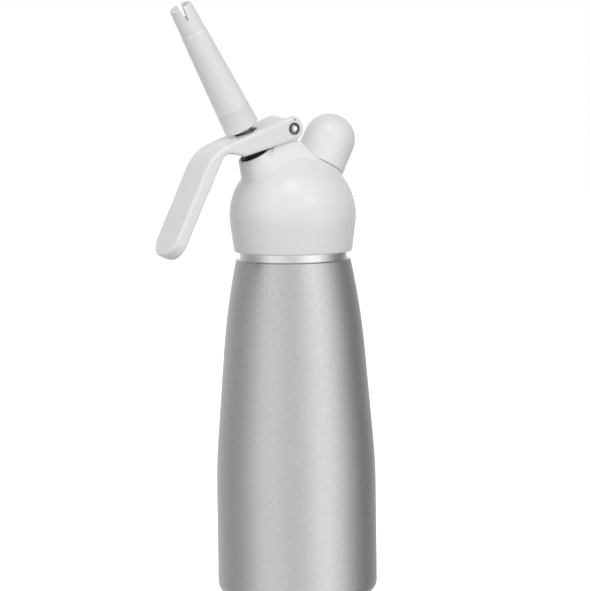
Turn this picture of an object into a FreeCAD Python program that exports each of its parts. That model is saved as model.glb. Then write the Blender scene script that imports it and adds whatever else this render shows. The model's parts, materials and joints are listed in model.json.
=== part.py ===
# Whipped cream dispenser: an aluminium bottle, a screwed plastic head, a squeeze
# lever that presses a sliding valve with its nozzle, and a capped charger port.
# Millimetres. +Z is up, the base stands on Z = 0, the nozzle and lever face -X.
# The valve axis and the port axis both leave the hub point inside the head.
import FreeCAD, Part
import math
import os
import re
import Sketcher

V = FreeCAD.Vector

# Driving dimensions: name, value, what it is
SIZES = [
    ("bottle_radius", 39.0, "outer radius of the straight part of the bottle"),
    ("bottle_corner", 6.4, "rounding where the wall meets the base"),
    ("bottle_wall", 1.2, "thickness of the bottle wall"),
    ("straight_height", 52.0, "top of the straight wall"),
    ("waist_radius", 38.1, "radius at the end of the lower bend"),
    ("waist_height", 76.0, "height of the end of the lower bend"),
    ("taper_radius", 34.5, "radius at the end of the conical stretch"),
    ("taper_height", 120.0, "height of the end of the conical stretch"),
    ("lower_bend", 300.0, "radius of the lower bend of the wall"),
    ("upper_bend", 363.0, "radius of the upper bend of the wall"),
    ("shoulder_radius", 28.0, "radius of the shoulder"),
    ("shoulder_height", 165.1, "height of the shoulder"),
    ("ring_radius", 26.1, "radius of the polished neck ring"),
    ("ring_height", 4.3, "height of the polished neck ring"),
    ("thread_core", 24.6, "core radius of the neck thread"),
    ("neck_rise", 20.9, "mouth above the shoulder"),
    ("neck_wall", 2.2, "thickness of the neck under the thread"),
    ("neck_ridge", 1.2, "height of the neck thread ridge"),
    ("neck_pitch", 4.0, "pitch of the neck thread"),
    ("neck_thread_run", 9.0, "axial length of the neck thread"),
    ("ridge_root", 1.7, "width of a neck thread ridge at its root"),
    ("ridge_crest", 0.8, "width of a neck thread ridge at its crest"),
    ("thread_play", 0.4, "clearance of the neck thread"),
    ("gasket_thickness", 2.0, "thickness of the head gasket"),
    ("skirt_gap", 3.5, "head skirt above the bottle shoulder"),
    ("skirt_radius", 28.8, "outer radius of the skirt at its lower edge"),
    ("brow_radius", 31.95, "radius where the skirt meets the dome"),
    ("brow_rise", 23.7, "height of the brow above the lower edge of the skirt"),
    ("brow_blend", 30.0, "rounding between skirt and dome"),
    ("dome_rise", 24.1, "top of the dome above the brow"),
    ("skirt_edge", 1.0, "rounding of the lower edge of the skirt"),
    ("hub_x", -0.6, "hub point, where the valve and port axes cross"),
    ("hub_rise", 16.1, "hub point above the bottle shoulder"),
    ("valve_tilt", 29.0, "lean of the valve axis towards the front, degrees"),
    ("port_tilt", 28.0, "lean of the port axis towards the rear, degrees"),
    ("rim_height", 41.15, "rim of the valve boss from the hub"),
    ("rim_radius", 8.8, "outer radius of the valve boss rim"),
    ("boss_wall", 1.4, "wall of the valve boss at its rim"),
    ("boss_flare", 17.5, "half angle of the valve boss, degrees"),
    ("boss_depth", 16.0, "length of the conical valve boss"),
    ("ledge_height", 24.5, "ledge that carries the guide bush, from the hub"),
    ("ledge_thickness", 1.5, "thickness of that ledge"),
    ("ledge_radius", 5.6, "hole through the ledge"),
    ("chamber_radius", 7.6, "radius of the valve chamber under the ledge"),
    ("port_height", 33.1, "face of the charger port from the hub"),
    ("port_radius", 13.0, "outer radius of the port boss"),
    ("port_depth", 15.0, "length of the port boss"),
    ("web_front", -15.0, "front end of the tower web"),
    ("web_rear", 16.0, "rear end of the tower web"),
    ("web_foot", 200.0, "lower edge of the tower web"),
    ("web_height", 26.0, "height of the tower web before its roof is cut"),
    ("cutter_reach", 40.0, "reach of the planes that trim the tower"),
    ("slope_foot_x", 7.4, "foot of the slope behind the tower roof, along X"),
    ("slope_angle", 46.0, "fall of the slope behind the tower roof, degrees"),
    ("cap_room", 0.6, "room for the port cap to turn beside the tower"),
    ("roof_height", 222.2, "flat roof of the tower under the lever"),
    ("front_foot_width", 14.0, "half width of the web foot at the front"),
    ("front_top_width", 6.6, "half width of the web top at the front"),
    ("rear_foot_width", 13.3, "half width of the web foot at the rear"),
    ("rear_top_width", 12.4, "half width of the web top at the rear"),
    ("pin_x", -4.7, "lever pin, along X"),
    ("pin_z", 228.8, "lever pin, height"),
    ("pin_radius", 1.75, "radius of the lever pin"),
    ("pin_play", 0.05, "running clearance of the lever on its pin"),
    ("pin_head_radius", 2.85, "radius of the domed pin ends"),
    ("pin_head_height", 1.2, "height of the domed pin ends"),
    ("pin_head_edge", 0.25, "straight edge of the domed pin ends"),
    ("pin_end_gap", 0.15, "domed pin ends from the lever arms"),
    ("pin_grip", 0.5, "depth of the pin in its far cap"),
    ("lug_radius", 3.5, "radius of the lug round the pin"),
    ("lever_half_width", 10.8, "half width of the lever"),
    ("lever_wall", 1.8, "thickness of the lever arms"),
    ("side_play", 0.3, "side clearance of the lever on the tower"),
    ("deck_tilt", 19.6, "slope of the lever deck, degrees"),
    ("deck_rise", 5.87, "top of the deck above the pin"),
    ("deck_thickness", 2.0, "thickness of the deck"),
    ("deck_length", 44.9, "pin to the knee corner along the deck"),
    ("arm_tail", 5.4, "arms behind the pin"),
    ("arm_drop", 6.1, "lower edge of the arms below the pin"),
    ("arm_foot_x", 29.5, "front foot of the arms from the pin"),
    ("arm_foot_drop", 2.9, "front foot of the arms below the pin"),
    ("channel_length", 34.5, "pin to the front wall of the channel"),
    ("deck_tail", -1.0, "rear edge of the deck from the pin"),
    ("knee_angle", 44.0, "angle between the deck and the handle, degrees"),
    ("knee_blend", 22.0, "outer rounding of the knee"),
    ("handle_length", 54.5, "length of the handle from the knee corner"),
    ("handle_thickness", 6.5, "thickness of the handle"),
    ("armpit_rise", 2.5, "inner corner of the knee up the handle"),
    ("lever_edge", 1.6, "rounding of the long outer edges of the lever"),
    ("arm_foot_blend", 3.0, "rounding where the arms meet their front foot"),
    ("armpit_blend", 5.0, "inner rounding of the knee"),
    ("squeeze_angle", 10.0, "travel of the lever, degrees"),
    ("arm_play", 0.4, "clearance under the arms at full squeeze"),
    ("recess_length", 50.0, "length of the recesses for the arms"),
    ("recess_width", 12.0, "width of the recesses for the arms"),
    ("nozzle_base", 55.65, "underside of the nozzle adapter from the hub"),
    ("adapter_height", 10.0, "height of the nozzle adapter"),
    ("adapter_radius", 8.65, "outer radius of the adapter at its base"),
    ("adapter_top_radius", 8.2, "outer radius of the adapter at its top"),
    ("socket_radius", 6.9, "nozzle socket in the adapter"),
    ("socket_depth", 5.5, "depth of the nozzle socket"),
    ("nozzle_pitch", 2.0, "pitch of the nozzle thread"),
    ("nozzle_ridge", 0.6, "height of the nozzle thread ridges"),
    ("nozzle_ridge_root", 0.8, "width of a nozzle thread ridge at its root"),
    ("nozzle_ridge_crest", 0.35, "width of a nozzle thread ridge at its crest"),
    ("nozzle_thread_rise", 1.9, "foot of the nozzle thread above the socket floor"),
    ("nozzle_length", 56.9, "nozzle above the adapter"),
    ("nozzle_shank", 42.0, "nozzle below the tulip tip"),
    ("shank_top_radius", 6.35, "nozzle radius under the tulip tip"),
    ("tip_radius", 6.1, "tulip tip radius at its root"),
    ("tip_end_radius", 5.65, "tulip tip radius at its end"),
    ("nozzle_wall", 1.2, "wall of the nozzle"),
    ("slit_depth", 6.8, "depth of the slits in the tulip tip"),
    ("slit_width", 2.4, "width of a slit at its mouth"),
    ("slit_turn", 23.0, "turn of the slits about the nozzle, degrees"),
    ("piston_radius", 4.5, "outer radius of the valve piston"),
    ("piston_bore", 2.9, "bore of the valve piston"),
    ("piston_neck", 3.8, "radius of the piston at the side ports"),
    ("piston_stud", 2.6, "radius of the stud under the piston"),
    ("port_hole", 1.4, "radius of the side ports"),
    ("sliding_play", 0.05, "clearance of the piston in its bush"),
    ("bush_length", 8.5, "length of the guide bush"),
    ("wiper_section", 0.8, "section radius of the wiper ring"),
    ("collar_radius", 7.2, "radius of the thrust collar"),
    ("collar_height", 2.2, "height of the thrust collar"),
    ("collar_top", 7.6, "top of the thrust collar below the adapter"),
    ("nose_radius", 2.0, "radius of the pressing noses under the deck"),
    ("nose_gap", 0.25, "noses above the thrust collar at rest"),
    ("seat_height", 4.5, "height of the valve seat ring"),
    ("seat_bore", 5.4, "bore of the valve seat ring"),
    ("seal_thickness", 2.0, "thickness of the poppet seal"),
    ("seal_radius", 6.6, "radius of the poppet seal"),
    ("seal_gap", 0.1, "poppet seal below the seat at rest"),
    ("poppet_radius", 6.2, "radius of the poppet"),
    ("poppet_height", 3.5, "height of the poppet"),
    ("spring_wire", 0.55, "radius of the valve spring wire"),
    ("spring_radius", 5.9, "mean radius of the valve spring"),
    ("spring_turns", 5.5, "turns of the valve spring"),
    ("fit_play", 0.02, "clearance of pressed and screwed fits"),
    ("nipple_core", 8.4, "core radius of the charger nipple thread"),
    ("nipple_height", 9.9, "nipple above the port face"),
    ("nipple_ridge", 0.7, "height of the nipple thread ridge"),
    ("nipple_pitch", 2.0, "pitch of the nipple thread"),
    ("nipple_ridge_root", 0.9, "width of a nipple thread ridge at its root"),
    ("nipple_ridge_crest", 0.4, "width of a nipple thread ridge at its crest"),
    ("nipple_thread_rise", 2.2, "foot of the nipple thread above the port face"),
    ("nipple_thread_run", 5.0, "axial length of the nipple thread"),
    ("nipple_stem", 6.5, "radius of the nipple stem in the head"),
    ("nipple_stem_length", 11.1, "length of the nipple stem"),
    ("nipple_tail", 3.0, "radius of the nipple tail"),
    ("nipple_tail_length", 8.0, "length of the nipple tail"),
    ("tail_bore", 4.6, "bore round the nipple tail"),
    ("charger_socket", 4.4, "socket for the charger neck"),
    ("socket_floor", 0.9, "floor of the charger socket above the port face"),
    ("gas_bore", 1.0, "gas passage in the nipple"),
    ("pin_seat", 2.0, "seat of the piercing pin"),
    ("needle_radius", 1.1, "radius of the piercing needle"),
    ("cap_gap", 0.35, "port cap above the port face"),
    ("cap_radius", 12.8, "outer radius of the port cap at its edge"),
    ("cap_top_radius", 12.6, "radius of the port cap under its dome"),
    ("cap_straight", 13.1, "straight height of the port cap"),
    ("cap_bore", 9.5, "bore of the port cap"),
    ("cap_bore_depth", 11.75, "depth of that bore"),
    ("cap_wall", 2.6, "wall of the cap dome"),
    ("cap_seal_thickness", 1.8, "thickness of the cap seal"),
]

# Heights and radii worked out from the driving dimensions
MOUTH = "(shoulder_height + neck_rise)"
RING_TOP = "(shoulder_height + ring_height)"
NECK_BORE = "(thread_core + neck_ridge + thread_play)"
UNDERSIDE = f"({MOUTH} + gasket_thickness)"
SKIRT = "(shoulder_height + skirt_gap)"
BROW = f"({SKIRT} + brow_rise)"
HUB = "(shoulder_height + hub_rise)"
BOSS_BORE = "(rim_radius - boss_wall)"
CHAMBER_TOP = "(ledge_height - ledge_thickness)"
SEAT_FACE = f"({CHAMBER_TOP} - seat_height)"
SEAL_TOP = f"({SEAT_FACE} - seal_gap)"
SEAL_FOOT = f"({SEAL_TOP} - seal_thickness)"
COLLAR_TOP = "(nozzle_base - collar_top)"
COLLAR_FOOT = f"({COLLAR_TOP} - collar_height)"
BUSH_TOP = "(ledge_height + bush_length)"
ADAPTER_TOP = "(nozzle_base + adapter_height)"
SOCKET_FLOOR = f"({ADAPTER_TOP} - socket_depth)"
NIPPLE_TOP = "(port_height + nipple_height)"
CAP_FOOT = "(port_height + cap_gap)"
CAP_LEDGE = f"({CAP_FOOT} + cap_bore_depth)"
CAP_SHOULDER = f"({CAP_FOOT} + cap_straight)"
LEVER_INSIDE = "(lever_half_width - lever_wall)"
NECK_THREAD_FOOT = f"({RING_TOP} + 2.6)"
# Slope of the arms' lower edge against the deck, and its distance from the pin
ARM_SLOPE = "(atan((arm_drop - arm_foot_drop) / (arm_tail + arm_foot_x)) / 1deg)"
ARM_DISTANCE = f"((arm_drop - arm_tail * tan({ARM_SLOPE})) * cos({ARM_SLOPE}))"
# Distance from the pin to the valve axis, and the place of its foot along the axis
PIN_TO_AXIS = f"((pin_x - hub_x) * cos(valve_tilt) + (pin_z - {HUB}) * sin(valve_tilt))"
PIN_ALONG = f"((hub_x - pin_x) * sin(valve_tilt) + (pin_z - {HUB}) * cos(valve_tilt))"
LEAN = "(valve_tilt - deck_tilt)"
NOSE_ALONG = f"({COLLAR_TOP} + nose_gap + nose_radius - {PIN_ALONG})"
# Height of the port plane at the foot of the slope behind the tower roof
SLOPE_FOOT_Z = (f"({HUB} + port_height * cos(port_tilt)"
                " + (hub_x + port_height * sin(port_tilt) - slope_foot_x) * tan(port_tilt))")
SLIT_FOOT = f"({ADAPTER_TOP} + nozzle_length - slit_depth)"
NOZZLE_TIP = f"({ADAPTER_TOP} + nozzle_length)"

doc = FreeCAD.newDocument("WhippedCreamDispenser")
sheet = doc.addObject("Spreadsheet::Sheet", "Sizes")
for row, (alias, number, note) in enumerate(SIZES, start=1):
    sheet.set(f"A{row}", str(number))
    sheet.setAlias(f"A{row}", alias)
    sheet.set(f"B{row}", note)
doc.recompute()

ALIASES = re.compile(r"\b(" + "|".join(sorted((s[0] for s in SIZES), key=len, reverse=True)) + r")\b")
NODES = []


def bound(text):
    """The expression with every size named in the sheet."""
    return ALIASES.sub(r"Sizes.\1", str(text))


def value(text):
    """The present value of an expression."""
    return float(sheet.evalExpression(bound(text)))


def bind(thing, prop, text):
    """Ties one property of an object to the sheet."""
    setattr(thing, prop, value(text))
    thing.setExpression(prop, bound(text))


def place(thing, x=0, y=0, z=0, axis=V(0, 1, 0), angle=0):
    """Ties an object's place and its turn about one axis to the sheet."""
    turn = FreeCAD.Rotation(axis, value(angle) if value(angle) else 1e-9)
    thing.Placement = FreeCAD.Placement(V(value(x), value(y), value(z)), turn)
    for name, text in (("x", x), ("y", y), ("z", z)):
        thing.setExpression(f"Placement.Base.{name}", bound(text))
    if str(angle) != "0":
        thing.setExpression("Placement.Rotation.Angle", bound(angle))


def on_valve_axis(thing):
    """Stands an object's own Z axis on the valve axis, with its origin at the hub."""
    place(thing, "hub_x", 0, HUB, V(0, -1, 0), "valve_tilt")


def on_port_axis(thing):
    """Stands an object's own Z axis on the port axis, with its origin at the hub."""
    place(thing, "hub_x", 0, HUB, V(0, 1, 0), "port_tilt")


def at_pin(thing):
    """Lays an object's own Z axis along the lever pin, towards -Y."""
    place(thing, "pin_x", 0, "pin_z", V(1, 0, 0), 90)


def node(thing, name):
    """Names an object as one piece of the dispenser."""
    thing.Label = name
    NODES.append(thing)
    return thing


def new_body(name):
    return doc.addObject("PartDesign::Body", name)


def plane_sketch(body, name, role="XZ_Plane"):
    """A sketch on one of the body's own origin planes."""
    plane = [item for item in body.Origin.OriginFeatures if item.Role == role][0]
    sketch = body.newObject("Sketcher::SketchObject", name)
    sketch.AttachmentSupport = [(plane, "")]
    sketch.MapMode = "FlatFace"
    return sketch


def arc_through(start, end, radius):
    """An arc from start to end. A positive radius has its centre on the left."""
    chord = end - start
    half = chord.Length / 2
    height = math.sqrt(radius * radius - half * half)
    side = V(-chord.y, chord.x, 0).normalize() * math.copysign(height, radius)
    centre = (start + end) / 2 + side
    middle = centre - side.normalize() * abs(radius)
    return Part.Arc(start, middle, end).toShape().Curve, centre


def outline(sketch, corners):
    """Closed outline. Each corner is (x, y) or (x, y, radius of the arc that leaves it)."""
    points = [V(value(corner[0]), value(corner[1]), 0) for corner in corners]
    count = len(points)
    for index, corner in enumerate(corners):
        start = points[index]
        end = points[(index + 1) % count]
        if len(corner) == 2:
            sketch.addGeometry(Part.LineSegment(start, end), False)
            continue
        circle, centre = arc_through(start, end, value(corner[2]))
        first, last = (start, end) if value(corner[2]) > 0 else (end, start)
        angles = [math.atan2(p.y - centre.y, p.x - centre.x) for p in (first, last)]
        curve = Part.Circle(centre, V(0, 0, 1), abs(value(corner[2])))
        sketch.addGeometry(Part.ArcOfCircle(curve, angles[0], angles[1]), False)

    def ends(index):
        turned = len(corners[index]) == 3 and value(corners[index][2]) < 0
        return (2, 1) if turned else (1, 2)

    for index in range(count):
        following = (index + 1) % count
        link = Sketcher.Constraint("Coincident", index, ends(index)[1], following, ends(following)[0])
        sketch.addConstraint(link)
    for index, corner in enumerate(corners):
        for kind, text in (("DistanceX", corner[0]), ("DistanceY", corner[1])):
            rule = Sketcher.Constraint(kind, -1, 1, index, ends(index)[0], value(text))
            number = sketch.addConstraint(rule)
            sketch.setExpression(f"Constraints[{number}]", bound(text))
        if len(corner) == 3:
            number = sketch.addConstraint(Sketcher.Constraint("Radius", index, abs(value(corner[2]))))
            sketch.setExpression(f"Constraints[{number}]", bound(f"abs({corner[2]})"))


def revolved(name, corners):
    """A body turned about its own Z axis from an outline of (radius, height) corners."""
    body = new_body(name)
    sketch = plane_sketch(body, f"{name}_profile")
    outline(sketch, corners)
    turned = body.newObject("PartDesign::Revolution", f"{name}_turned")
    turned.Profile = sketch
    turned.ReferenceAxis = (sketch, ["V_Axis"])
    turned.Angle = 360
    return body


def cap_arc(half, rise):
    """Radius of a spherical cap from its half width and its rise."""
    return f"(({half}) ^ 2 + ({rise}) ^ 2) / (2 * ({rise}))"


def ring(name, inner, outer, foot, top):
    """A plain washer or sleeve."""
    return revolved(name, [(inner, foot), (outer, foot), (outer, top), (inner, top)])


def ridge(body, name, root, crest, foot, pitch, run, root_width, crest_width):
    """A helical thread ridge on a body, from its root radius to its crest radius."""
    sketch = plane_sketch(body, f"{name}_profile")
    inset = f"(({root_width}) - ({crest_width})) / 2"
    outline(sketch, [
        (root, foot),
        (crest, f"{foot} + {inset}"),
        (crest, f"{foot} + {root_width} - {inset}"),
        (root, f"{foot} + {root_width}"),
    ])
    helix = body.newObject("PartDesign::AdditiveHelix", name)
    helix.Profile = sketch
    helix.ReferenceAxis = (sketch, ["V_Axis"])
    helix.Mode = 0
    bind(helix, "Pitch", pitch)
    bind(helix, "Height", run)
    doc.recompute()
    return helix


def fillet(body, radius, chosen):
    """Rounds the edges of the body's last feature that the test accepts."""
    doc.recompute()
    base = body.Tip
    names = [f"Edge{i + 1}" for i, edge in enumerate(base.Shape.Edges) if chosen(edge)]
    rounded = body.newObject("PartDesign::Fillet", f"{body.Name}_round")
    rounded.Base = (base, names)
    bind(rounded, "Radius", radius)
    doc.recompute()
    return rounded


def box(name, low, high):
    """A box between two corners given as expressions."""
    solid = doc.addObject("Part::Box", name)
    for prop, start, end in zip(("Length", "Width", "Height"), low, high):
        bind(solid, prop, f"({end}) - ({start})")
    return solid


def cylinder(name, radius, height):
    solid = doc.addObject("Part::Cylinder", name)
    bind(solid, "Radius", radius)
    bind(solid, "Height", height)
    return solid


def rod_on(frame, name, radius, foot, top):
    """A cylinder on the valve or the port axis."""
    solid = cylinder(name, radius, f"({top}) - ({foot})")
    tilt = "valve_tilt" if frame == "valve" else "port_tilt"
    lean = -1 if frame == "valve" else 1
    x = f"hub_x + ({lean}) * ({foot}) * sin({tilt})"
    z = f"{HUB} + ({foot}) * cos({tilt})"
    place(solid, x, 0, z, V(0, lean, 0), tilt)
    return solid


def joined(name, shapes):
    result = doc.addObject("Part::MultiFuse", name)
    result.Shapes = shapes
    return result


def cut_from(name, base, tools):
    result = doc.addObject("Part::Cut", name)
    result.Base = base
    result.Tool = tools[0] if len(tools) == 1 else joined(f"{name}_tools", tools)
    return result


def make_bottle():
    inner = "(bottle_radius - bottle_wall)"
    mouth = "(thread_core - neck_wall)"
    body = revolved("bottle", [
        (0, 0),
        ("bottle_radius - bottle_corner", 0, "bottle_corner"),
        ("bottle_radius", "bottle_corner"),
        ("bottle_radius", "straight_height", "lower_bend"),
        ("waist_radius", "waist_height"),
        ("taper_radius", "taper_height", "upper_bend"),
        ("shoulder_radius", "shoulder_height - 0.6"),
        ("shoulder_radius - 0.6", "shoulder_height"),
        ("ring_radius", "shoulder_height"),
        ("ring_radius", RING_TOP),
        ("thread_core", f"{RING_TOP} + 0.8"),
        ("thread_core", f"{MOUTH} - 0.6"),
        ("thread_core - 0.6", MOUTH),
        (mouth, MOUTH),
        (mouth, "shoulder_height - 2"),
        ("taper_radius - bottle_wall", "taper_height"),
        ("waist_radius - bottle_wall", "waist_height"),
        (inner, "straight_height"),
        (inner, "bottle_corner"),
        (f"{inner} - bottle_corner + bottle_wall", "bottle_wall"),
        (0, "bottle_wall"),
    ])
    ridge(body, "neck_thread", "thread_core - 0.3", "thread_core + neck_ridge", NECK_THREAD_FOOT,
          "neck_pitch", "neck_thread_run", "ridge_root", "ridge_crest")
    return node(body, "bottle")


def make_head():
    dome = revolved("dome", [
        (0, UNDERSIDE),
        (NECK_BORE, UNDERSIDE),
        (NECK_BORE, f"{RING_TOP} + 1"),
        ("ring_radius + thread_play", f"{RING_TOP} + 0.4"),
        ("ring_radius + thread_play", SKIRT),
        ("skirt_radius", SKIRT),
        ("brow_radius", BROW, cap_arc("brow_radius", "dome_rise")),
        (0, f"{BROW} + dome_rise"),
    ])
    brow = value(BROW)
    fillet(dome, "brow_blend", lambda edge: len(edge.Vertexes) == 1
           and abs(edge.BoundBox.ZMin - brow) < 0.01 and edge.BoundBox.ZLength < 0.01)
    skirt = value(SKIRT)
    fillet(dome, "skirt_edge", lambda edge: len(edge.Vertexes) == 1
           and abs(edge.BoundBox.ZMin - skirt) < 0.01 and edge.BoundBox.XLength > 2 * value("skirt_radius") - 0.1)
    ridge(dome, "head_thread", f"{NECK_BORE} + 0.3", "thread_core + thread_play",
          f"{NECK_THREAD_FOOT} + neck_pitch / 2", "neck_pitch", "neck_thread_run",
          "ridge_root", "ridge_crest")
    boss = doc.addObject("Part::Cone", "valve_boss")
    bind(boss, "Radius1", "rim_radius + boss_depth * tan(boss_flare)")
    bind(boss, "Radius2", "rim_radius")
    bind(boss, "Height", "boss_depth")
    foot = "(rim_height - boss_depth)"
    place(boss, f"hub_x - {foot} * sin(valve_tilt)", 0, f"{HUB} + {foot} * cos(valve_tilt)",
          V(0, -1, 0), "valve_tilt")
    port = rod_on("port", "port_boss", "port_radius", "port_height - port_depth", "port_height")
    tower = cut_from("tower", make_web(), tower_roof())
    lug = cylinder("lug_round", "lug_radius", f"2 * ({LEVER_INSIDE} - side_play)")
    place(lug, "pin_x", f"{LEVER_INSIDE} - side_play", "pin_z", V(1, 0, 0), 90)
    post = box("lug_post", ("-lug_radius", 0, 0), ("lug_radius", f"2 * ({LEVER_INSIDE} - side_play)",
                                                   "pin_z - roof_height + 4"))
    place(post, "pin_x - lug_radius", f"side_play - {LEVER_INSIDE}", "roof_height - 4")
    solid = joined("head_solid", [dome, boss, port, tower, lug, post])
    pin_hole = cylinder("lug_hole", "pin_radius + fit_play", "4 * lever_half_width")
    place(pin_hole, "pin_x", "2 * lever_half_width", "pin_z", V(1, 0, 0), 90)
    head = cut_from("head_cut", solid, arm_recesses() + [
        rod_on("valve", "boss_bore", BOSS_BORE, "ledge_height", "rim_height + 6"),
        rod_on("valve", "ledge_hole", "ledge_radius", f"{CHAMBER_TOP} - 1", "ledge_height + 1"),
        rod_on("valve", "valve_chamber", "chamber_radius", 0, CHAMBER_TOP),
        rod_on("port", "stem_bore", "nipple_stem", "port_height - nipple_stem_length", "port_height + 2"),
        rod_on("port", "port_face_cut", "cap_radius + cap_room", "port_height", "port_height + 30"),
        rod_on("port", "tail_bore_cut", "tail_bore", 0, "port_height - nipple_stem_length + 1"),
        pin_hole,
    ])
    return node(head, "head")


def make_web():
    """The tower between the valve boss and the port boss, wider towards its foot and its rear."""
    body = new_body("web")
    sections = []
    for name, at, foot, top in (
        ("web_front_section", "web_front", "front_foot_width", "front_top_width"),
        ("web_rear_section", "web_rear", "rear_foot_width", "rear_top_width"),
    ):
        sketch = plane_sketch(body, name, "YZ_Plane")
        sketch.AttachmentOffset = FreeCAD.Placement(V(0, 0, value(at)), FreeCAD.Rotation())
        sketch.setExpression("AttachmentOffset.Base.z", bound(at))
        roof = "web_foot + web_height"
        outline(sketch, [(f"-{foot}", "web_foot"), (foot, "web_foot"), (top, roof), (f"-{top}", roof)])
        sections.append(sketch)
    loft = body.newObject("PartDesign::AdditiveLoft", "web_loft")
    loft.Profile = sections[0]
    loft.Sections = [(sections[1], [""])]
    loft.Ruled = True
    return body


def tower_roof():
    """What is cut off the web: above the rim plane, the flat roof, the rear slope, the port face."""
    span = "(4 * lever_half_width)"
    block = ("cutter_reach", span, "cutter_reach")
    front = box("rim_plane_cut", (0, 0, 0), block)
    rim_x = "hub_x - rim_height * sin(valve_tilt)"
    rim_z = f"{HUB} + rim_height * cos(valve_tilt)"
    reach = f"(cutter_reach - (roof_height - {HUB} - rim_height * cos(valve_tilt)) / sin(valve_tilt))"
    place(front, f"{rim_x} - {reach} * cos(valve_tilt)", f"-{span} / 2",
          f"{rim_z} - {reach} * sin(valve_tilt)", V(0, -1, 0), "valve_tilt")
    flat = box("roof_cut", (0, 0, 0), ("2 * cutter_reach", span, "cutter_reach"))
    place(flat, "pin_x - cutter_reach", f"-{span} / 2", "roof_height")
    slope = box("slope_cut", (0, 0, 0), block)
    place(slope, "slope_foot_x - cutter_reach * cos(slope_angle)", f"-{span} / 2",
          f"{SLOPE_FOOT_Z} + cutter_reach * sin(slope_angle)", V(0, 1, 0), "slope_angle")
    rear = box("port_plane_cut", (0, 0, 0), block)
    place(rear, "slope_foot_x", f"-{span} / 2", SLOPE_FOOT_Z, V(0, 1, 0), "port_tilt")
    return [front, flat, slope, rear]


def arm_recesses():
    """Room beside the tower for the lever arms at full squeeze."""
    recesses = []
    slope = f"(deck_tilt - {ARM_SLOPE} + squeeze_angle)"
    drop = f"({ARM_DISTANCE} + arm_play)"
    front = "(recess_length - arm_tail)"
    for name, start in (("near_recess", f"-{LEVER_INSIDE} + side_play - recess_width"),
                        ("far_recess", f"{LEVER_INSIDE} - side_play")):
        recess = box(name, (0, 0, 0), ("recess_length", "recess_width", "2 * recess_width"))
        place(recess, f"pin_x - {front} * cos({slope}) + {drop} * sin({slope})", start,
              f"pin_z - {front} * sin({slope}) - {drop} * cos({slope})", V(0, -1, 0), slope)
        recesses.append(recess)
    return recesses


def make_lever():
    """An inverted channel hinged behind the nozzle, with a handle that hangs from its knee."""
    body = new_body("lever_body")
    profile = plane_sketch(body, "lever_profile")
    along = ("-cos(knee_angle)", "-sin(knee_angle)")
    across = ("sin(knee_angle)", "-cos(knee_angle)")
    outline(profile, [
        ("arm_tail", "deck_rise"),
        ("-deck_length", "deck_rise"),
        (f"-deck_length + handle_length * ({along[0]})", f"deck_rise + handle_length * ({along[1]})"),
        (f"-deck_length + handle_length * ({along[0]}) + handle_thickness * {across[0]}",
         f"deck_rise + handle_length * ({along[1]}) + handle_thickness * ({across[1]})"),
        (f"-deck_length - armpit_rise * ({along[0]}) + handle_thickness * {across[0]}",
         f"deck_rise - armpit_rise * ({along[1]}) + handle_thickness * ({across[1]})"),
        ("-arm_foot_x", "-arm_foot_drop"),
        ("arm_tail", "-arm_drop"),
    ])
    pad = body.newObject("PartDesign::Pad", "lever_pad")
    pad.Profile = profile
    pad.SideType = "Symmetric"
    bind(pad, "Length", "2 * lever_half_width")
    round_lever(body)
    channel = plane_sketch(body, "channel_profile")
    deck = "deck_rise - deck_thickness"
    outline(channel, [
        ("arm_tail + 3", "-arm_drop - 4"),
        ("arm_tail + 3", "deck_rise + 4"),
        ("deck_tail", "deck_rise + 4"),
        ("deck_tail", deck),
        ("-channel_length", deck),
        ("-channel_length", "-arm_drop - 4"),
    ])
    pocket = body.newObject("PartDesign::Pocket", "channel")
    pocket.Profile = channel
    pocket.SideType = "Symmetric"
    bind(pocket, "Length", f"2 * {LEVER_INSIDE}")
    place(body, "pin_x", 0, "pin_z", V(0, -1, 0), "deck_tilt")
    noses = [nose("near_nose", -1), nose("far_nose", 1)]
    hole = cylinder("lever_pin_hole", "pin_radius + pin_play", "4 * lever_half_width")
    place(hole, "pin_x", "2 * lever_half_width", "pin_z", V(1, 0, 0), 90)
    dot = cylinder("wire_hole", 0.55, "lever_wall + 2")
    place(dot, "pin_x + 4.4 * sin(valve_tilt - deck_tilt)", f"-{LEVER_INSIDE} + 1", "pin_z + 4.3", V(1, 0, 0), 90)
    solid = joined("lever_solid", [body] + noses)
    return node(cut_from("lever_cut", solid, [hole, dot, deck_slot()]), "lever")


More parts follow.
